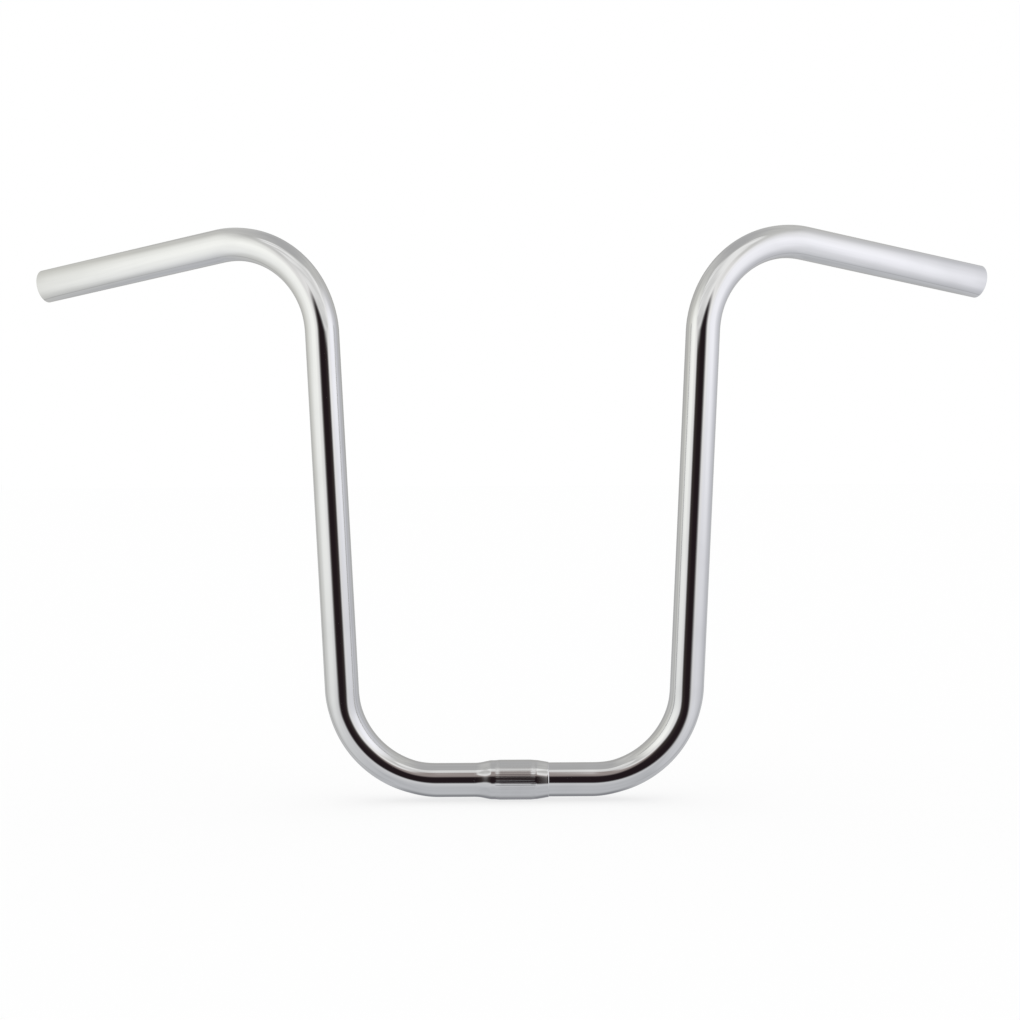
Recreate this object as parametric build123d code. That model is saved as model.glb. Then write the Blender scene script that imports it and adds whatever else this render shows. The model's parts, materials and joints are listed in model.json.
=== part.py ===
from build123d import *

# High-rise handlebar: one bent steel tube with a knurled clamp sleeve round its centre.
#
# Frame: the origin is the centre of the clamp sleeve, on the tube's centreline. +X runs along the
# clamp axis to the rider's left, +Y points back to the rider and +Z points up. The bar is a mirror
# image of itself about the YZ plane. All sizes are in millimetres and all angles in degrees.

from math import cos, radians, sin, sqrt
import os

# ---- Driving dimensions of the tube ----
TUBE_OD = 22.2  # 7/8 in bar
TUBE_WALL = 1.6
BEND_RADIUS = 63.0  # of the centreline, the same in all four bends
RISE = 353.5  # from the clamp axis up to the highest point of the centreline
CENTRE_STRAIGHT = 100.5  # between the two lower bends
LEG_FLARE = 2.7  # lean of each leg away from the vertical
GRIP_STRAIGHT = 135.5  # straight length of each hand grip seat
GRIP_DROP = 9.4  # fall of each grip seat towards its end
GRIP_SWEEP = 18.7  # turn of each grip seat back to the rider, seen from above
RIM_ROUND = 0.6  # rounding of the outer rim at each cut end
RIM_REAM = 0.5  # chamfer of the bore at each cut end

# ---- Driving dimensions of the clamp sleeve ----
CLAMP_OD = 25.4  # 1 in, before the knurl is rolled
CLAMP_LENGTH = 31.0  # full-diameter seat, with the knurl in its middle
TAPER_LENGTH = 10.0  # swaged taper at each end of the seat
LIP_LENGTH = 0.8  # feather edge that closes each taper down on the tube
LIP_THICKNESS = 0.25
KNURL_LENGTH = 29.0
KNURL_COUNT = 60
KNURL_RAISE = 0.3  # height of the rolled crests above the seat
KNURL_DEPTH = 0.15  # from the crests to the bottom of the grooves
KNURL_RAMP = 2.5  # length over which the crests rise from the seat

TUBE_RADIUS = TUBE_OD / 2
BORE_RADIUS = TUBE_RADIUS - TUBE_WALL
CLAMP_RADIUS = CLAMP_OD / 2
CREST_RADIUS = CLAMP_RADIUS + KNURL_RAISE

BAR_AXIS = Vector(1, 0, 0)
LEG_AXIS = Vector(sin(radians(LEG_FLARE)), 0, cos(radians(LEG_FLARE)))
GRIP_AXIS = Vector(
    cos(radians(GRIP_DROP)) * cos(radians(GRIP_SWEEP)),
    cos(radians(GRIP_DROP)) * sin(radians(GRIP_SWEEP)),
    -sin(radians(GRIP_DROP)),
)


def leg_straight():
    """Straight length of a leg: what the lower and the upper bend leave of the rise."""
    inward = (GRIP_AXIS - LEG_AXIS * GRIP_AXIS.dot(LEG_AXIS)).normalized()
    lower_bend_rise = BEND_RADIUS * (1 - LEG_AXIS.X)
    upper_bend_rise = BEND_RADIUS * (inward.Z + sqrt(LEG_AXIS.Z**2 + inward.Z**2))
    return (RISE - lower_bend_rise - upper_bend_rise) / LEG_AXIS.Z


class TubeRun:
    """Lays tube along a path, one straight or one bend at a time, and keeps its end plane."""

    def __init__(self, start, direction):
        self.end = Plane(origin=start, z_dir=direction)
        self.tube = None

    def add(self, piece):
        self.tube = piece if self.tube is None else self.tube + piece

    def section(self):
        return self.end * (Circle(TUBE_RADIUS) - Circle(BORE_RADIUS))

    def straight(self, length):
        self.add(extrude(self.section(), amount=length, dir=self.end.z_dir))
        self.end = self.end.offset(length)

    def bend(self, new_direction):
        """Turns the tube to new_direction, at the bend radius."""
        direction = self.end.z_dir
        hinge = direction.cross(new_direction).normalized()
        to_centre = hinge.cross(direction) * BEND_RADIUS
        centre = self.end.origin + to_centre
        turn = direction.get_angle(new_direction)
        self.add(revolve(self.section(), axis=Axis(centre, hinge), revolution_arc=turn))
        arm = (-to_centre).rotate(Axis((0, 0, 0), hinge), turn)
        self.end = Plane(origin=centre + arm, z_dir=new_direction)


def finished_end(tube, end):
    """Rounds the outer rim of a cut end and reams its bore. end is the cut's plane."""
    circles = tube.edges().filter_by(GeomType.CIRCLE).sort_by_distance(end.origin)
    outer_rim = circles[1]  # circles[0] is the rim of the bore
    reamer = Cone(BORE_RADIUS - RIM_REAM, BORE_RADIUS + RIM_REAM, 2 * RIM_REAM)
    return fillet(outer_rim, RIM_ROUND) - end * Pos(0, 0, -RIM_REAM) * reamer


def bar_tube():
    """One length of steel tube with four bends and two open ends."""
    run = TubeRun((0, 0, 0), BAR_AXIS)
    run.straight(CENTRE_STRAIGHT / 2)
    run.bend(LEG_AXIS)
    run.straight(leg_straight())
    run.bend(GRIP_AXIS)
    run.straight(GRIP_STRAIGHT)
    half = finished_end(run.tube, run.end)
    return half + mirror(half, about=Plane.YZ)


def sleeve_blank():
    """Sleeve with a raised band where the knurl goes, closed down on the tube at each end."""
    seat_end = CLAMP_LENGTH / 2
    taper_end = seat_end + TAPER_LENGTH
    tip = taper_end + LIP_LENGTH
    band_end = KNURL_LENGTH / 2
    lip = TUBE_RADIUS + LIP_THICKNESS
    half_way = ((seat_end + taper_end) / 2, (CLAMP_RADIUS + lip) / 2)
    outline = Polyline(
        (taper_end, lip),
        (tip, TUBE_RADIUS),
        (0, TUBE_RADIUS),
        (0, CREST_RADIUS),
        (band_end - KNURL_RAMP, CREST_RADIUS),
        (band_end, CLAMP_RADIUS),
        (seat_end, CLAMP_RADIUS),
    )
    # the taper is two equal arcs, level with the tube where they meet the seat and the lip
    upper = TangentArc((seat_end, CLAMP_RADIUS), half_way, tangent=(1, 0))
    lower = TangentArc((taper_end, lip), half_way, tangent=(-1, 0))
    half = make_face([*outline.edges(), upper, lower])
    return revolve(half + mirror(half, about=Plane.YZ), axis=Axis.X)


def knurl_grooves():
    """Straight right-angled grooves along the clamp axis, evenly spaced round the seat."""
    reach = 2 * KNURL_DEPTH
    root = CREST_RADIUS - KNURL_DEPTH
    vee = Polyline((root, 0), (root + reach, reach), (root + reach, -reach), close=True)
    groove = extrude(Plane.YZ * make_face(vee), amount=KNURL_LENGTH / 2, both=True)
    step = 360 / KNURL_COUNT
    return [Rot(step * n, 0, 0) * groove for n in range(KNURL_COUNT)]


def clamp_sleeve():
    """Sleeve that brings the tube up to the stem clamp's size, knurled so it can't turn."""
    return sleeve_blank() - knurl_grooves()


os.makedirs("parts", exist_ok=True)
export_step(bar_tube(), "parts/bar_tube.step")
export_step(clamp_sleeve(), "parts/clamp_sleeve.step")
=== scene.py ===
"""Looks of the high-rise handlebar: chrome-plated bent tube and knurled clamp sleeve, in a light tent.

Lengths are metres in the row's frame: +X to the rider's left along the clamp, +Y back to the rider,
+Z up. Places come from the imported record's mounts and from a few driving dimensions.
"""

import json
import math

import bpy
import numpy as np
from mathutils import Matrix, Vector


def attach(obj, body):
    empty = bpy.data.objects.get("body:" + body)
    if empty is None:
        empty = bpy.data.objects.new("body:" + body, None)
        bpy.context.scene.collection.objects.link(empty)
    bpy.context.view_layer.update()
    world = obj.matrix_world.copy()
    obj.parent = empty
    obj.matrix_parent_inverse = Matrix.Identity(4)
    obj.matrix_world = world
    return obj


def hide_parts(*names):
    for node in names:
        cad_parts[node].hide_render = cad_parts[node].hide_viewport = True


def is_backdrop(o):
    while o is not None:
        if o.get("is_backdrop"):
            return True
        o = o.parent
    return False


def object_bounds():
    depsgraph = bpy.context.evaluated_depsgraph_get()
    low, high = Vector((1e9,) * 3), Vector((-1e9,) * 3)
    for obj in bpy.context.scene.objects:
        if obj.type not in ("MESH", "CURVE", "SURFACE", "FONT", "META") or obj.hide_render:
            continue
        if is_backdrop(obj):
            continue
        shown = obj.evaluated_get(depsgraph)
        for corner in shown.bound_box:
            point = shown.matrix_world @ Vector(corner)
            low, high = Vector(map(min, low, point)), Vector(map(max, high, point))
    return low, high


MM = 0.001

# ---- Tube ----
BEND_RADIUS = 63.0 * MM
LEG_FLARE = math.radians(2.7)  # lean of each leg away from the vertical
WALL = 1.6 * MM
RIM_ROUND = 0.6 * MM
RIM_REAM = 0.5 * MM
LOWER_FLATNESS = 0.05  # share by which bending narrows the tube towards the bend's centre
UPPER_FLATNESS = 0.026
FLATNESS_RAMP = 0.2  # share of a bend over which the flattening comes and goes
BULGE_SHARE = 0.25  # of the flatness, given back across the bend
LOWER_SKEW = 0.10  # share of its depth by which the lower bends lean outwards to the front
SKEW_RAMPS = (0.75, 0.2)  # shares of a bend over which the lean grows, and goes at the leg
SEAM_HEIGHT = 0.25 * MM  # weld bead inside the tube
SEAM_HALF_WIDTH = 0.9 * MM
SEAM_TURN = math.radians(205)  # where the bead lies round the section
TUBE_SEGMENTS = 128
BEND_STEPS = 72
STRAIGHT_STEPS = 14
RIM_STEPS = 6
SHARP_ANGLE = math.radians(32)  # edges that turn more than this aren't shaded smooth

# Places in a row of the table of stations, after its six vectors
FLATNESS_COLUMN = 18
SKEW_COLUMN = 19

# ---- Sleeve ----
CLAMP_RADIUS = 12.7 * MM
# Pairs are the -X end and the +X end, which are a little uneven. Places are from the middle.
SEAT_ENDS = (15.3 * MM, 14.2 * MM)
TAPER_LENGTHS = (10.8 * MM, 6.9 * MM)
TAPER_POWERS = (0.8, 1.15)  # below 1 a taper falls early, above 1 it falls late
LIP_THICKNESSES = (0.01 * MM, 0.45 * MM)  # the long taper runs out with almost no edge
LIP_LENGTHS = (0.1 * MM, 1.1 * MM)
KNURL_ENDS = (13.6 * MM, 14.2 * MM)
KNURL_COUNT = 60
KNURL_DEPTH = 0.04 * MM
KNURL_HALF_WIDTH = 0.17 * MM
KNURL_RAMP = 4.5 * MM  # length over which the crests rise from the seat
GROOVE_RUNOUT = 1.6 * MM  # length over which the grooves get shallow at the knurl's ends
GROOVE_UNEVENNESS = 0.45  # share by which the grooves' widths differ
GROOVE_RHYTHM = 2.4  # radians of that difference from one groove to the next
GROOVE_SEGMENTS = 16
MIDDLE_STEPS = 16
RAMP_STEPS = 20
TAPER_STEPS = 48
LIP_STEPS = 9

# ---- Chrome plate and bare steel ----
TUBE_TINT = (0.82, 0.82, 0.825)
TUBE_HAZE = 0.03  # roughness where the plate is clearest
SLEEVE_TINT = (0.81, 0.81, 0.815)
SLEEVE_HAZE = 0.05
# Limits are values of a pattern between 0 and 1, from where it does nothing to where it does all.
CLOUD_LIMITS = (0.45, 0.75)
STREAK_LIMITS = (0.62, 0.74)
# Triples are how fine a pattern is along the tube and round it. The third number is unused.
HAIRLINE_SCALE = (14, 1500, 1)
WAVE_SCALE = (22, 60, 1)
PATCH_SCALE = 38.0
GRAIN_SCALE = 2600.0
HAIRLINE_DEPTH = 0.0016 * MM
WAVE_DEPTH = 0.02 * MM
GRAIN_DEPTH = 0.0006 * MM
BUMP_STRENGTH = 0.5
GRAIN_STRENGTH = 0.4
HAZE_SPREAD = 0.025  # roughness that cloudy patches add
STREAK_ROUGHNESS = 0.05  # and that the strongest hairlines add
CLOUD_DULLNESS = 0.965  # share of its tint that cloudy chrome keeps
STEEL_STREAK_SCALE = (30, 600, 1)
STEEL_PATCH_SCALE = 120.0
STEEL_STREAK_DEPTH = 0.02 * MM
STEEL_COLOUR = (0.46, 0.455, 0.45, 1)
STEEL_BROWN = (0.30, 0.25, 0.21, 1)
STEEL_BROWN_LIMITS = (0.5, 0.72)
STEEL_ROUGHNESS = (0.35, 0.6)
STEEL_BARENESS = 0.5

# ---- Camera ----
CAMERA_PLACE = (-4.2 * MM, -1199.8 * MM, 213.8 * MM)
CAMERA_TURN = (88.257, 0.307, -0.101)  # degrees about X, Y and Z
CAMERA_LENS = 64.75  # mm, on a 36 mm sensor
SENSOR = 36.0

# ---- Light tent that the chrome mirrors, in metres ----
TENT_SIDE = 0.43
TENT_FRONT = -0.605
TENT_BACK = 0.90
TENT_FLOOR = -0.73
TENT_TOP = 1.02
OPENING_LEFT = -0.337  # edges of the opening that the camera looks through
OPENING_RIGHT = 0.294
OPENING_BLUR = 0.14
OPENING_LOW_LEFT = -0.05  # height of its lower edge, which slants
OPENING_LOW_RIGHT = -0.2
OPENING_LOW_BLUR = 0.08
OPENING_ARCH = 0.22  # how much narrower each side of the opening is at its top
ARCH_HEIGHTS = (0.36, 0.62)  # where that narrowing begins and ends
VALANCE_PLACE = -0.19  # bright cloth hanging in front, above the bar
VALANCE_LOW = 0.305  # height of its hem at the middle
VALANCE_CURVE = 3.8  # per metre, how the hem rises to the sides
VALANCE_BLUR = 0.018
VALANCE_SPREAD = 100.0  # per square metre, how that blur grows to the sides
VALANCE_SIDES = (0.42, 0.28)  # distance from the middle where it is gone, and where it is whole
VALANCE_MIDDLE_SIDES = (0.02, 0.12)  # distance over which its middle colour gives way
VALANCE_TOP_HEIGHTS = (0.4, 0.7)  # above the hem
VALANCE_CREASE_SCALE = (3, 1, 10)  # along X, Y and Z
VALANCE_CREASE_LIMITS = (0.45, 0.7)
ROOM_PLACE = -1.74
ROOM_HALF_WIDTH = 3.0
ROOM_BOTTOM = -2.0
ROOM_TOP = 4.0
ROOM_SIDE_PLACES = (0.15, 0.9)  # distance from the middle
ROOM_HIGH_PLACES = (0.70, 1.25)  # along Z
CREASE_PLACE = 0.2  # Y of the crease down each side wall, at the height of the clamp
CREASE_SLANT = 0.32  # how far back it leans for each metre of height
CREASE_HALF_WIDTH = 0.045
CREASE_SHARE = 0.3

# Reach of each part of the tent's shading. Pairs run from none of it to all of it.
LEFT_TO_RIGHT = (-0.25, 0.25)  # along X
NEAR_TO_FAR = (-0.13, 0.16)  # along Y
TO_BACK = (-0.22, 1.0)  # along Y
OVERHEAD_TO_BACK = (-0.41, -0.11)  # along Y
FRONT_REACH = 0.34  # back from the front wall
OVERHEAD_SIDE_REACH = 0.38  # in from the side walls
OVERHEAD_REACH = 0.79  # down from the top
GROUND_REACH = 1.64  # up from the tent's floor
BEHIND_DEPTHS = (0.05, 0.45)  # along Y
BEHIND_HEIGHTS = (0.3, 0.05)  # above the tent's floor
BEHIND_SIDES = (0.42, 0.2)  # distance from the middle
CREASE_SIDES = (0.36, 0.42)  # distance from the middle
FOLD_SCALE = 3.2
FOLD_LIMITS = (0.35, 0.75)
FOLD_SHARE = 0.10

# Colours of the cloth as they show in the chrome on a display
DISPLAY_GAMMA = 2.2
NEAR_LEFT = (1.074, 1.077, 1.048, 1)
NEAR_RIGHT = (1.065, 1.064, 1.09, 1)
FAR_LEFT = (0.853, 0.852, 0.81, 1)
FAR_RIGHT = (0.805, 0.809, 0.844, 1)
FRONT_COLOUR = (1.0, 0.993, 0.983, 1)
BACK_COLOUR = (0.62, 0.615, 0.60, 1)
OVERHEAD_FRONT = (0.842, 0.839, 0.842, 1)
OVERHEAD_BACK = (0.66, 0.66, 0.66, 1)
OVERHEAD_SIDES = (0.73, 0.73, 0.72, 1)
GROUND_COLOUR = (0.70, 0.706, 0.718, 1)
GROUND_BEHIND = (0.50, 0.505, 0.52, 1)
FOLD_COLOUR = (0.35, 0.35, 0.35, 1)
CREASE_COLOUR = (0.42, 0.42, 0.42, 1)
VALANCE_MIDDLE = (0.83, 0.83, 0.825, 1)
VALANCE_COLOUR = (0.89, 0.89, 0.885, 1)
VALANCE_CREASES = (0.76, 0.76, 0.755, 1)
VALANCE_TOP = (0.65, 0.65, 0.64, 1)
ROOM_MIDDLE = (0.145, 0.12, 0.13, 1)
ROOM_SIDES = (0.205, 0.185, 0.18, 1)
ROOM_HIGH = (0.56, 0.525, 0.515, 1)

# ---- Floor, light and chrome ----
CHROME_REFLECTANCE = 0.82
FLOOR_HALF_WIDTH = 12.0
FLOOR_COLOUR = (0.9, 0.9, 0.9, 1)
FLOOR_GLOW = 0.7  # share of the floor's brightness that is its own
SURROUNDINGS = 0.86  # brightness of the white surroundings, except where the camera sees them
OVERHEAD_ENERGY = 0.75
OVERHEAD_SPREAD = math.radians(70)
OVERHEAD_TILT = (math.radians(-12), math.radians(6), 0)


def mount(name):
    """(point, axis, radius, length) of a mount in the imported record."""
    found = next(m for m in frame["record"]["mounts"] if m["name"] == name)
    dims = found["dims"]
    return Vector(found["pos_m"]), Vector(found["axis"]), dims["r_mm"] * MM, dims["length_mm"] * MM


# ---------------------------------------------------------------- tube


class Stations:
    """Section places along the tube: where each lies, its axes and how far bending flattens it."""

    def __init__(self, start, forward, up):
        self.place = Vector(start)
        self.forward = Vector(forward)
        self.up = Vector(up)
        self.inward = Vector(up)
        self.rows = []
        self.travelled = 0.0
        self.note(0.0, 0.0)

    def note(self, flatness, skew):
        side = self.forward.cross(self.up)
        across = self.forward.cross(self.inward)
        row = (*self.place, *self.forward, *self.up, *side, *self.inward, *across)
        self.rows.append([*row, flatness, skew, self.travelled])

    def straight(self, length, steps=STRAIGHT_STEPS):
        for _ in range(steps):
            self.place = self.place + self.forward * (length / steps)
            self.travelled += length / steps
            self.note(0.0, 0.0)

    def bend(self, new_forward, flatness, skew):
        hinge = self.forward.cross(new_forward).normalized()
        turn = self.forward.angle(new_forward) / BEND_STEPS
        inward = hinge.cross(self.forward)
        centre = self.place + inward * BEND_RADIUS
        step = Matrix.Rotation(turn, 3, hinge)
        self.inward = inward
        for n in range(1, BEND_STEPS + 1):
            self.place = centre + step @ (self.place - centre)
            self.forward = step @ self.forward
            self.up = step @ self.up
            self.inward = step @ self.inward
            self.travelled += turn * BEND_RADIUS
            done = n / BEND_STEPS
            flattened = smooth(min(done, 1 - done) / FLATNESS_RAMP)
            leaning = smooth(done / SKEW_RAMPS[0]) * smooth((1 - done) / SKEW_RAMPS[1])
            self.note(flatness * flattened, skew * leaning)

    def table(self):
        """The rows of both halves, from the -X end to the +X end."""
        right = np.array(self.rows)
        left = right[:0:-1].copy()
        for first in (0, 6, 9, 12, 15):  # place, up, side, inward and across are mirrored
            left[:, first] *= -1
        left[:, 4:6] *= -1  # forward still runs from -X to +X
        left[:, -1] *= -1
        return np.concatenate([left, right])


def smooth(x):
    x = min(max(x, 0.0), 1.0)
    return x * x * (3 - 2 * x)


def leg_direction():
    return Vector((math.sin(LEG_FLARE), 0, math.cos(LEG_FLARE)))


def tube_stations():
    """Stations of the whole tube. The legs and the centre straight are as long as the grip seats ask."""
    middle, grip, _, length = mount("left_grip_seat")
    seat = length + RIM_ROUND
    leg = leg_direction()
    inward = (grip - leg * grip.dot(leg)).normalized()
    turn = leg.angle(grip)
    grip_start = middle - grip * seat / 2
    arc = inward * (1 - math.cos(turn)) + leg * math.sin(turn)
    leg_end = grip_start - arc * BEND_RADIUS
    lower_end_height = BEND_RADIUS * (1 - leg.x)
    leg_length = (leg_end.z - lower_end_height) / leg.z
    half_centre = leg_end.x - leg.x * leg_length - BEND_RADIUS * leg.z
    run = Stations((0, 0, 0), (1, 0, 0), (0, 0, 1))
    run.straight(half_centre)
    run.bend(leg, LOWER_FLATNESS, LOWER_SKEW)
    run.straight(leg_length)
    run.bend(grip, UPPER_FLATNESS, 0.0)
    run.straight(seat - RIM_ROUND)
    return run.table()


def section(rows, radius, forward=0.0):
    """Points of the tube's section at each row. radius is one number per segment, or one for all."""
    angle = np.arange(TUBE_SEGMENTS) * 2 * math.pi / TUBE_SEGMENTS
    place, along, up, side, inward, across = (
        rows[:, None, n : n + 3] for n in range(0, FLATNESS_COLUMN, 3)
    )
    flatness = rows[:, None, FLATNESS_COLUMN : FLATNESS_COLUMN + 1]
    skew = rows[:, None, SKEW_COLUMN : SKEW_COLUMN + 1]
    spoke = up * np.cos(angle)[None, :, None] + side * np.sin(angle)[None, :, None]
    to_centre = (spoke * inward).sum(2, keepdims=True)
    to_front = (spoke * across).sum(2, keepdims=True)
    spoke = spoke - inward * (flatness * to_centre + skew * to_front)
    spoke = spoke + across * (BULGE_SHARE * flatness * to_front)
    return place + along * forward + spoke * np.broadcast_to(radius, TUBE_SEGMENTS)[None, :, None]


def rim_outline(radius, bore):
    """(distance out from the last station, radius) round the rim, from outside to inside."""
    turn = [math.pi / 2 * n / RIM_STEPS for n in range(1, RIM_STEPS + 1)]
    rounding = [(RIM_ROUND * math.sin(a), radius - RIM_ROUND * (1 - math.cos(a))) for a in turn]
    return rounding + [(RIM_ROUND, bore + RIM_REAM), (RIM_ROUND - RIM_REAM, bore)]


def bore_radii(bore):
    """Radius of the bore round the section, with the weld bead standing in from it."""
    angle = np.arange(TUBE_SEGMENTS) * 2 * math.pi / TUBE_SEGMENTS
    off = (angle - SEAM_TURN + math.pi) % (2 * math.pi) - math.pi
    return bore - SEAM_HEIGHT * np.exp(-((off * bore / SEAM_HALF_WIDTH) ** 2) * 2)


def grid_mesh(name, rings, distances, girths, slots, materials):
    """Closed skin over rings of points: every ring joins the next, and the last joins the first."""
    count, around = rings.shape[:2]
    mesh = bpy.data.meshes.new(name)
    index = np.arange(count * around).reshape(count, around)
    ahead = np.roll(index, -1, axis=0)
    faces = np.stack([index, np.roll(index, -1, 1), np.roll(ahead, -1, 1), ahead], 2)
    mesh.from_pydata(rings.reshape(-1, 3).tolist(), [], faces.reshape(-1, 4).tolist())
    for material in materials:
        mesh.materials.append(material)
    mesh.polygons.foreach_set("material_index", np.repeat(slots, around).astype(np.int32))
    across = np.arange(around + 1) / around
    uv = np.zeros((count, around, 4, 2))
    next_distance = np.roll(distances, -1)
    next_distance[-1] = distances[-1]
    corners = ((distances, 0), (distances, 1), (next_distance, 1), (next_distance, 0))
    for corner, (ring, step) in enumerate(corners):
        uv[:, :, corner, 0] = ring[:, None]
        uv[:, :, corner, 1] = girths[:, None] * across[None, step : step + around]
    mesh.uv_layers.new(name="along_and_around").data.foreach_set("uv", uv.reshape(-1))
    mesh.validate()
    mesh.polygons.foreach_set("use_smooth", np.ones(len(mesh.polygons), bool))
    mesh.set_sharp_from_angle(angle=SHARP_ANGLE)
    piece = bpy.data.objects.new(name, mesh)
    bpy.context.scene.collection.objects.link(piece)
    return piece


def tube_skin(outside, inside):
    """The tube as one closed skin: outer face, both rims and the bore."""
    rows = tube_stations()
    _, _, radius, _ = mount("left_grip_seat")
    bore = radius - WALL
    parts = [section(rows, radius)]
    slots = [np.zeros(len(rows))]
    distances = [rows[:, -1]]
    rim = rim_outline(radius, bore)
    for out, size in rim:
        parts.append(section(rows[-1:], size if size > bore else bore_radii(bore), out))
        slots.append(np.zeros(1))
        distances.append(rows[-1:, -1] + radius - size)
    inner = rows[::-1]
    parts.append(section(inner, bore_radii(bore)))
    slots.append(np.ones(len(rows)))
    distances.append(inner[:, -1])
    for out, size in reversed(rim):
        parts.append(section(rows[:1], size if size > bore else bore_radii(bore), -out))
        slots.append(np.zeros(1))
        distances.append(rows[:1, -1] - radius + size)
    rings = np.concatenate(parts)
    girths = np.full(len(rings), 2 * math.pi * radius)
    distances = np.concatenate(distances)
    slots = np.concatenate(slots)
    return grid_mesh("bar_tube_skin", rings, distances, girths, slots, (outside, inside))


# ---------------------------------------------------------------- sleeve


def sleeve_outline(x, tube_radius, crest_radius):
    """Radius of the sleeve at place x along the clamp, before the grooves."""
    end = int(x > 0)
    past_seat = abs(x) - SEAT_ENDS[end]
    past_taper = past_seat - TAPER_LENGTHS[end]
    if past_taper > 0:
        share = min(past_taper / LIP_LENGTHS[end], 1.0)
        return tube_radius + LIP_THICKNESSES[end] * math.sqrt(1 - share**2)
    rise = smooth((KNURL_ENDS[end] - abs(x)) / KNURL_RAMP)
    into = max(past_seat, 0.0) / TAPER_LENGTHS[end]
    fall = into ** TAPER_POWERS[end]
    if end == 0:
        fall = smooth(fall)
    drop = CLAMP_RADIUS - tube_radius - LIP_THICKNESSES[end]
    return CLAMP_RADIUS + (crest_radius - CLAMP_RADIUS) * rise - drop * fall


def groove_shape(around, crest_radius):
    """Depth of the grooves round the sleeve: 0 on the broad crests, 1 at a root. No two are alike."""
    pitch = 2 * math.pi / KNURL_COUNT
    number = np.floor(around / pitch + 0.5)
    half_width = KNURL_HALF_WIDTH * (1 + GROOVE_UNEVENNESS * np.sin(number * GROOVE_RHYTHM))
    into = np.clip(1 - np.abs(around - number * pitch) * crest_radius / half_width, 0, 1)
    return into * into * (3 - 2 * into)


def sleeve_stations():
    """Places along the clamp of the sleeve's rings, closer together where its outline turns."""
    halves = []
    for end in (0, 1):
        ramp_start = KNURL_ENDS[end] - KNURL_RAMP
        seat_end = SEAT_ENDS[end]
        taper_end = seat_end + TAPER_LENGTHS[end]
        lip = np.sin(np.linspace(0, math.pi / 2, LIP_STEPS))
        parts = [
            np.linspace(0, ramp_start, MIDDLE_STEPS, endpoint=False),
            np.linspace(ramp_start, seat_end, RAMP_STEPS, endpoint=False),
            np.linspace(seat_end, taper_end, TAPER_STEPS, endpoint=False),
            taper_end + LIP_LENGTHS[end] * lip,
        ]
        halves.append(np.concatenate(parts))
    return np.concatenate([-halves[0][:0:-1], halves[1]])


def sleeve_skin(outside):
    """The sleeve as one closed skin: outer face with its grooves, and the face on the tube."""
    _, _, tube_radius, _ = mount("left_grip_seat")
    _, _, crest_radius, _ = mount("clamp_seat")
    xs = sleeve_stations()
    segments = KNURL_COUNT * GROOVE_SEGMENTS
    angle = np.arange(segments) * 2 * math.pi / segments
    spokes = np.stack([np.zeros(segments), -np.sin(angle), np.cos(angle)], 1)
    outline = np.array([sleeve_outline(x, tube_radius, crest_radius) for x in xs])
    into_knurl = [KNURL_ENDS[int(x > 0)] - abs(x) for x in xs]
    reach = np.array([smooth(length / GROOVE_RUNOUT) for length in into_knurl])
    depth = KNURL_DEPTH * groove_shape(angle, crest_radius)
    radii = outline[:, None] - reach[:, None] * depth[None]
    outer = spokes[None] * radii[:, :, None]
    outer[:, :, 0] = xs[:, None]
    inner = np.repeat((spokes * tube_radius)[None], 2, 0)
    inner[0, :, 0] = xs[-2]
    inner[1, :, 0] = xs[1]
    rings = np.concatenate([outer, inner])
    distances = np.concatenate([xs, [xs[-2], xs[1]]])
    girths = np.full(len(rings), 2 * math.pi * CLAMP_RADIUS)
    return grid_mesh("clamp_sleeve_skin", rings, distances, girths, np.zeros(len(rings)), (outside,))


# ---------------------------------------------------------------- materials


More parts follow.
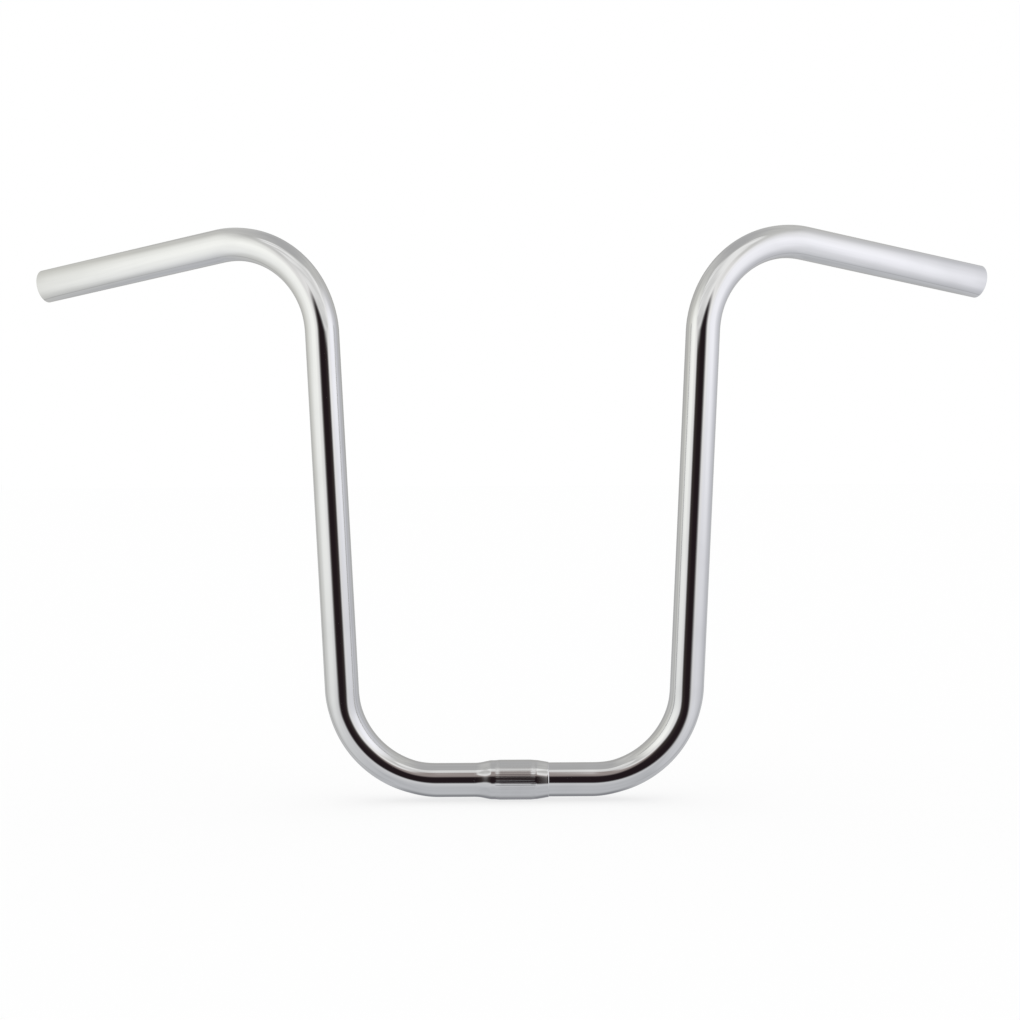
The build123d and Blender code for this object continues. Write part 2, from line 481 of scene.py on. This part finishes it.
class Shader:
    """A new node material and short ways to add nodes to it."""

    def __init__(self, name):
        self.material = bpy.data.materials.new(name)
        self.material.use_nodes = True
        self.tree = self.material.node_tree
        self.tree.nodes.clear()
        self.output = self.tree.nodes.new("ShaderNodeOutputMaterial")

    def node(self, kind, **settings):
        made = self.tree.nodes.new(kind)
        for name, value in settings.items():
            setattr(made, name, value)
        return made

    def link(self, value, socket):
        """Joins a socket, or sets a plain number or colour."""
        if isinstance(value, bpy.types.NodeSocket):
            self.tree.links.new(value, socket)
        else:
            socket.default_value = value

    def math(self, operation, first, second=0.0):
        made = self.node("ShaderNodeMath", operation=operation)
        self.link(first, made.inputs[0])
        self.link(second, made.inputs[1])
        return made.outputs[0]

    def step(self, value, low, high):
        """0 below low, 1 above high, and smooth between. low may be the larger."""
        made = self.node("ShaderNodeMapRange", interpolation_type="SMOOTHSTEP")
        self.link(value, made.inputs["Value"])
        flip = low > high
        made.inputs["From Min"].default_value = min(low, high)
        made.inputs["From Max"].default_value = max(low, high)
        made.inputs["To Min"].default_value = 1.0 if flip else 0.0
        made.inputs["To Max"].default_value = 0.0 if flip else 1.0
        return made.outputs["Result"]

    def remap(self, value, low, high):
        """Takes 0 to 1 to low to high."""
        made = self.node("ShaderNodeMapRange")
        self.link(value, made.inputs["Value"])
        made.inputs["To Min"].default_value = low
        made.inputs["To Max"].default_value = high
        return made.outputs["Result"]

    def mix(self, share, first, second):
        made = self.node("ShaderNodeMix", data_type="RGBA")
        self.link(share, made.inputs[0])
        self.link(first, made.inputs[6])
        self.link(second, made.inputs[7])
        return made.outputs[2]

    def coordinates(self, output, scale=(1, 1, 1)):
        source = self.node("ShaderNodeTexCoord")
        mapping = self.node("ShaderNodeMapping")
        mapping.inputs["Scale"].default_value = scale
        self.link(source.outputs[output], mapping.inputs["Vector"])
        return mapping.outputs["Vector"]

    def noise(self, vector, scale, detail=2.0, roughness=0.5):
        made = self.node("ShaderNodeTexNoise")
        self.link(vector, made.inputs["Vector"])
        made.inputs["Scale"].default_value = scale
        made.inputs["Detail"].default_value = detail
        made.inputs["Roughness"].default_value = roughness
        return made.outputs["Fac"]

    def bump(self, height, distance, strength=1.0, normal=None):
        made = self.node("ShaderNodeBump")
        made.inputs["Distance"].default_value = distance
        made.inputs["Strength"].default_value = strength
        self.link(height, made.inputs["Height"])
        if normal is not None:
            self.link(normal, made.inputs["Normal"])
        return made.outputs["Normal"]

    def metal(self, colour, roughness, normal, bareness=1.0):
        """bareness is 1 for clean metal and less where scale or dirt dulls it."""
        made = self.node("ShaderNodeBsdfPrincipled")
        made.inputs["Metallic"].default_value = bareness
        self.link(colour, made.inputs["Base Color"])
        self.link(roughness, made.inputs["Roughness"])
        self.link(normal, made.inputs["Normal"])
        self.link(made.outputs["BSDF"], self.output.inputs["Surface"])


def chrome(name, tint, haze):
    """Polished chrome plate: faint polishing lines along the tube, fine hairlines and slight haze."""
    s = Shader(name)
    hairlines = s.noise(s.coordinates("UV", HAIRLINE_SCALE), 1.0, detail=3.0)
    patches = s.noise(s.coordinates("Object"), PATCH_SCALE, detail=3.0)
    grain = s.noise(s.coordinates("Object"), GRAIN_SCALE, detail=1.0)
    waves = s.noise(s.coordinates("UV", WAVE_SCALE), 1.0, detail=1.0)
    clouded = s.step(patches, *CLOUD_LIMITS)
    streak = s.step(hairlines, *STREAK_LIMITS)
    hazed = s.remap(clouded, haze, haze + HAZE_SPREAD)
    roughness = s.math("ADD", hazed, s.remap(streak, 0.0, STREAK_ROUGHNESS))
    light = (*tint, 1)
    dull = (*(channel * CLOUD_DULLNESS for channel in tint), 1)
    wavy = s.bump(waves, WAVE_DEPTH, BUMP_STRENGTH)
    lined = s.bump(hairlines, HAIRLINE_DEPTH, BUMP_STRENGTH, wavy)
    grained = s.bump(grain, GRAIN_DEPTH, GRAIN_STRENGTH, lined)
    s.metal(s.mix(clouded, light, dull), roughness, grained)
    return s.material


def bare_steel(name):
    """Inside of the tube: unplated mill steel, dull, with streaks and a little brown."""
    s = Shader(name)
    streaks = s.noise(s.coordinates("UV", STEEL_STREAK_SCALE), 1.0, detail=4.0)
    patches = s.noise(s.coordinates("Object"), STEEL_PATCH_SCALE, detail=5.0)
    colour = s.mix(s.step(patches, *STEEL_BROWN_LIMITS), STEEL_COLOUR, STEEL_BROWN)
    roughness = s.remap(streaks, *STEEL_ROUGHNESS)
    streaked = s.bump(streaks, STEEL_STREAK_DEPTH, BUMP_STRENGTH)
    s.metal(colour, roughness, streaked, bareness=STEEL_BARENESS)
    return s.material


# ---------------------------------------------------------------- studio


class Cloth(Shader):
    """Glowing tent cloth, painted by its place. Colours are as seen in the chrome on a display."""

    def __init__(self, name):
        super().__init__(name)
        split = self.node("ShaderNodeSeparateXYZ")
        self.link(self.coordinates("Object"), split.inputs[0])
        self.x, self.y, self.z = split.outputs

    def glow(self, colour, cover=None):
        """cover is 1 where the cloth hides what is behind it and 0 where it is open."""
        gamma = self.node("ShaderNodeGamma")
        self.link(colour, gamma.inputs["Color"])
        gamma.inputs["Gamma"].default_value = DISPLAY_GAMMA
        light = self.node("ShaderNodeEmission")
        self.link(gamma.outputs[0], light.inputs["Color"])
        light.inputs["Strength"].default_value = 1 / CHROME_REFLECTANCE
        surface = light.outputs[0]
        if cover is not None:
            clear = self.node("ShaderNodeBsdfTransparent")
            both = self.node("ShaderNodeMixShader")
            self.link(self.math("POWER", cover, DISPLAY_GAMMA), both.inputs[0])
            self.link(clear.outputs[0], both.inputs[1])
            self.link(surface, both.inputs[2])
            surface = both.outputs[0]
        self.link(surface, self.output.inputs["Surface"])
        self.material.cycles.emission_sampling = "NONE"
        return self.material


def tent_sheet(name, corners, faces, material):
    """Part of the tent. Only mirror reflections see it, and it turns with the camera."""
    mesh = bpy.data.meshes.new(name)
    mesh.from_pydata(corners, [], faces)
    mesh.materials.append(material)
    sheet = bpy.data.objects.new(name, mesh)
    bpy.context.scene.collection.objects.link(sheet)
    sheet.visible_camera = False
    sheet.visible_diffuse = False
    sheet.visible_shadow = False
    sheet.visible_transmission = False
    camera = bpy.context.scene.camera
    sheet.parent = camera
    sheet.matrix_parent_inverse = camera.matrix_world.inverted()
    sheet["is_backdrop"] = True


def upright(name, y, half_width, low, top, material):
    """A flat sheet that stands across the view at y."""
    bottom = [(-half_width, y, low), (half_width, y, low)]
    corners = bottom + [(half_width, y, top), (-half_width, y, top)]
    tent_sheet(name, corners, [(0, 1, 2, 3)], material)


def overhead_colour(s, sideways):
    """Colour of the tent's top: greyer to the back and the sides."""
    colour = s.mix(s.step(s.y, *OVERHEAD_TO_BACK), OVERHEAD_FRONT, OVERHEAD_BACK)
    at_sides = s.step(sideways, TENT_SIDE - OVERHEAD_SIDE_REACH, TENT_SIDE)
    return s.mix(at_sides, colour, OVERHEAD_SIDES)


def ground_colour(s, sideways):
    """Colour of the tent's floor: darker behind the bar."""
    far_enough = s.step(s.y, *BEHIND_DEPTHS)
    low_enough = s.step(s.z, *(TENT_FLOOR + height for height in BEHIND_HEIGHTS))
    behind = s.math("MULTIPLY", far_enough, low_enough)
    behind = s.math("MULTIPLY", behind, s.step(sideways, *BEHIND_SIDES))
    return s.mix(behind, GROUND_COLOUR, GROUND_BEHIND)


def creased(s, sideways, colour):
    """The colour with a slanting crease down each side wall."""
    leaning = s.math("MULTIPLY", s.z, CREASE_SLANT)
    off = s.math("SUBTRACT", s.math("SUBTRACT", s.y, leaning), CREASE_PLACE)
    line = s.step(s.math("ABSOLUTE", off), CREASE_HALF_WIDTH, 0.0)
    crease = s.math("MULTIPLY", line, s.step(sideways, *CREASE_SIDES))
    return s.mix(s.math("MULTIPLY", crease, CREASE_SHARE), colour, CREASE_COLOUR)


def wall_colour(s):
    """Colour of the tent's walls: bright beside the bar, greyer above, behind and below."""
    sideways = s.math("ABSOLUTE", s.x)
    to_right = s.step(s.x, *LEFT_TO_RIGHT)
    near = s.mix(to_right, NEAR_LEFT, NEAR_RIGHT)
    far = s.mix(to_right, FAR_LEFT, FAR_RIGHT)
    colour = s.mix(s.step(s.y, *NEAR_TO_FAR), near, far)
    front = s.step(s.y, TENT_FRONT + FRONT_REACH, TENT_FRONT)
    colour = s.mix(front, colour, FRONT_COLOUR)
    colour = s.mix(s.step(s.y, *TO_BACK), colour, BACK_COLOUR)
    high = s.step(s.z, TENT_TOP - OVERHEAD_REACH, TENT_TOP)
    colour = s.mix(high, colour, overhead_colour(s, sideways))
    low = s.step(s.z, TENT_FLOOR + GROUND_REACH, TENT_FLOOR)
    colour = s.mix(low, colour, ground_colour(s, sideways))
    folds = s.noise(s.coordinates("Object"), FOLD_SCALE, detail=3.0, roughness=0.6)
    folded = s.mix(FOLD_SHARE, colour, FOLD_COLOUR)
    colour = s.mix(s.step(folds, *FOLD_LIMITS), colour, folded)
    return creased(s, sideways, colour)


def plain_walls():
    s = Cloth("tent_cloth")
    return s.glow(wall_colour(s))


def front_wall():
    """Front wall with the opening, whose lower edge slants and whose sides close in higher up."""
    s = Cloth("tent_front_cloth")
    middle = (OPENING_RIGHT + OPENING_LEFT) / 2
    half = (OPENING_RIGHT - OPENING_LEFT) / 2
    offset = s.math("SUBTRACT", s.x, middle)
    arch = s.math("MULTIPLY", s.step(s.z, *ARCH_HEIGHTS), OPENING_ARCH)
    sideways = s.math("ADD", s.math("ABSOLUTE", offset), arch)
    hole = s.step(sideways, half + OPENING_BLUR, half - OPENING_BLUR)
    slope = (OPENING_LOW_RIGHT - OPENING_LOW_LEFT) / (2 * half)
    level = (OPENING_LOW_RIGHT + OPENING_LOW_LEFT) / 2
    slanted = s.math("MULTIPLY", offset, slope)
    above = s.math("SUBTRACT", s.math("SUBTRACT", s.z, level), slanted)
    hole = s.math("MULTIPLY", hole, s.step(above, -OPENING_LOW_BLUR, OPENING_LOW_BLUR))
    return s.glow(wall_colour(s), s.math("SUBTRACT", 1.0, hole))


def valance():
    """Bright cloth above the bar. Its hem rises and gets softer to the sides."""
    s = Cloth("valance_cloth")
    sideways = s.math("ABSOLUTE", s.x)
    squared = s.math("MULTIPLY", s.x, s.x)
    hem = s.math("ADD", s.math("MULTIPLY", squared, VALANCE_CURVE), VALANCE_LOW)
    above = s.math("SUBTRACT", s.z, hem)
    past_middle = s.step(sideways, *VALANCE_MIDDLE_SIDES)
    colour = s.mix(past_middle, VALANCE_MIDDLE, VALANCE_COLOUR)
    creases = s.noise(s.coordinates("Object", VALANCE_CREASE_SCALE), 1.0, detail=3.0)
    colour = s.mix(s.step(creases, *VALANCE_CREASE_LIMITS), colour, VALANCE_CREASES)
    colour = s.mix(s.step(above, *VALANCE_TOP_HEIGHTS), colour, VALANCE_TOP)
    spread = s.math("ADD", s.math("MULTIPLY", squared, VALANCE_SPREAD), 1.0)
    edge = s.math("DIVIDE", above, spread)
    past_hem = s.step(edge, -VALANCE_BLUR, VALANCE_BLUR)
    cover = s.math("MULTIPLY", past_hem, s.step(sideways, *VALANCE_SIDES))
    return s.glow(colour, cover)


def room():
    """Dark room beyond the opening, lighter and a little brown higher up."""
    s = Cloth("room_beyond")
    aside = s.step(s.math("ABSOLUTE", s.x), *ROOM_SIDE_PLACES)
    dark = s.mix(aside, ROOM_MIDDLE, ROOM_SIDES)
    return s.glow(s.mix(s.step(s.z, *ROOM_HIGH_PLACES), dark, ROOM_HIGH))


def build_tent():
    """Box of cloth round the bar, a valance inside it and the dark room beyond its opening."""
    corners = []
    for z in (TENT_FLOOR, TENT_TOP):
        for y in (TENT_FRONT, TENT_BACK):
            corners.append((-TENT_SIDE, y, z))
            corners.append((TENT_SIDE, y, z))
    sides = [(0, 2, 6, 4), (1, 3, 7, 5)]
    back = (2, 3, 7, 6)
    bottom = (0, 1, 3, 2)
    top = (4, 5, 7, 6)
    tent_sheet("tent", corners, [*sides, back, bottom, top], plain_walls())
    upright("tent_front", TENT_FRONT, TENT_SIDE, TENT_FLOOR, TENT_TOP, front_wall())
    hem = VALANCE_LOW - VALANCE_BLUR
    upright("valance", VALANCE_PLACE, TENT_SIDE, hem, TENT_TOP, valance())
    upright("room", ROOM_PLACE, ROOM_HALF_WIDTH, ROOM_BOTTOM, ROOM_TOP, room())


def build_floor():
    """Pale floor, lit from beneath as well, so that shadows on it stay faint."""
    low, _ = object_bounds()
    s = Shader("pale_floor")
    lit = s.node("ShaderNodeBsdfDiffuse")
    s.link(FLOOR_COLOUR, lit.inputs["Color"])
    glow = s.node("ShaderNodeEmission")
    both = s.node("ShaderNodeMixShader")
    both.inputs[0].default_value = FLOOR_GLOW
    s.link(lit.outputs[0], both.inputs[1])
    s.link(glow.outputs[0], both.inputs[2])
    s.link(both.outputs[0], s.output.inputs["Surface"])
    s.material.cycles.emission_sampling = "NONE"
    mesh = bpy.data.meshes.new("floor")
    far = FLOOR_HALF_WIDTH
    corners = [(-far, -far, 0), (far, -far, 0), (far, far, 0), (-far, far, 0)]
    mesh.from_pydata(corners, [], [(0, 1, 2, 3)])
    mesh.materials.append(s.material)
    floor = bpy.data.objects.new("floor", mesh)
    floor.location.z = low.z
    floor.visible_glossy = False
    bpy.context.scene.collection.objects.link(floor)
    floor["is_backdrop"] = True


def build_light():
    """Even white surroundings, and one soft light from overhead."""
    world = bpy.data.worlds.new("studio")
    world.use_nodes = True
    bpy.context.scene.world = world
    tree = world.node_tree
    background = tree.nodes["Background"]
    background.inputs["Color"].default_value = (1, 1, 1, 1)
    rays = tree.nodes.new("ShaderNodeLightPath")
    strength = tree.nodes.new("ShaderNodeMapRange")
    strength.inputs["To Min"].default_value = SURROUNDINGS
    strength.inputs["To Max"].default_value = 1.0
    tree.links.new(rays.outputs["Is Camera Ray"], strength.inputs["Value"])
    tree.links.new(strength.outputs["Result"], background.inputs["Strength"])
    light = bpy.data.lights.new("overhead", "SUN")
    light.angle = OVERHEAD_SPREAD
    light.energy = OVERHEAD_ENERGY
    lamp = bpy.data.objects.new("overhead", light)
    lamp.rotation_euler = OVERHEAD_TILT
    lamp.visible_glossy = False
    bpy.context.scene.collection.objects.link(lamp)


def build_camera():
    data = bpy.data.cameras.new("camera")
    data.sensor_width = SENSOR
    data.lens = CAMERA_LENS
    camera = bpy.data.objects.new("camera", data)
    camera.location = CAMERA_PLACE
    camera.rotation_euler = [math.radians(a) for a in CAMERA_TURN]
    bpy.context.scene.collection.objects.link(camera)
    bpy.context.scene.camera = camera
    bpy.context.view_layer.update()


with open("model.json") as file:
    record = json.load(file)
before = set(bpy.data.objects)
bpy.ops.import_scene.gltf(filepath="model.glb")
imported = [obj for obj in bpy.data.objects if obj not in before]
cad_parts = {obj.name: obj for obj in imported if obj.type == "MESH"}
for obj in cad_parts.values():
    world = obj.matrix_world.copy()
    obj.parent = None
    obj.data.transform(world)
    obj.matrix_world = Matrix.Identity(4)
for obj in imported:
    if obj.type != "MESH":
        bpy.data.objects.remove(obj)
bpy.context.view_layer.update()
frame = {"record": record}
bpy.context.scene.view_settings.view_transform = "Standard"
build_camera()
build_tent()
build_floor()
build_light()

tube_plate = chrome("tube_chrome_finish", TUBE_TINT, TUBE_HAZE)
tube = tube_skin(tube_plate, bare_steel("bore_steel_finish"))
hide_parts("bar_tube")
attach(tube, "root")

sleeve = sleeve_skin(chrome("sleeve_chrome_finish", SLEEVE_TINT, SLEEVE_HAZE))
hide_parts("clamp_sleeve")
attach(sleeve, "root")

bpy.context.view_layer.update()
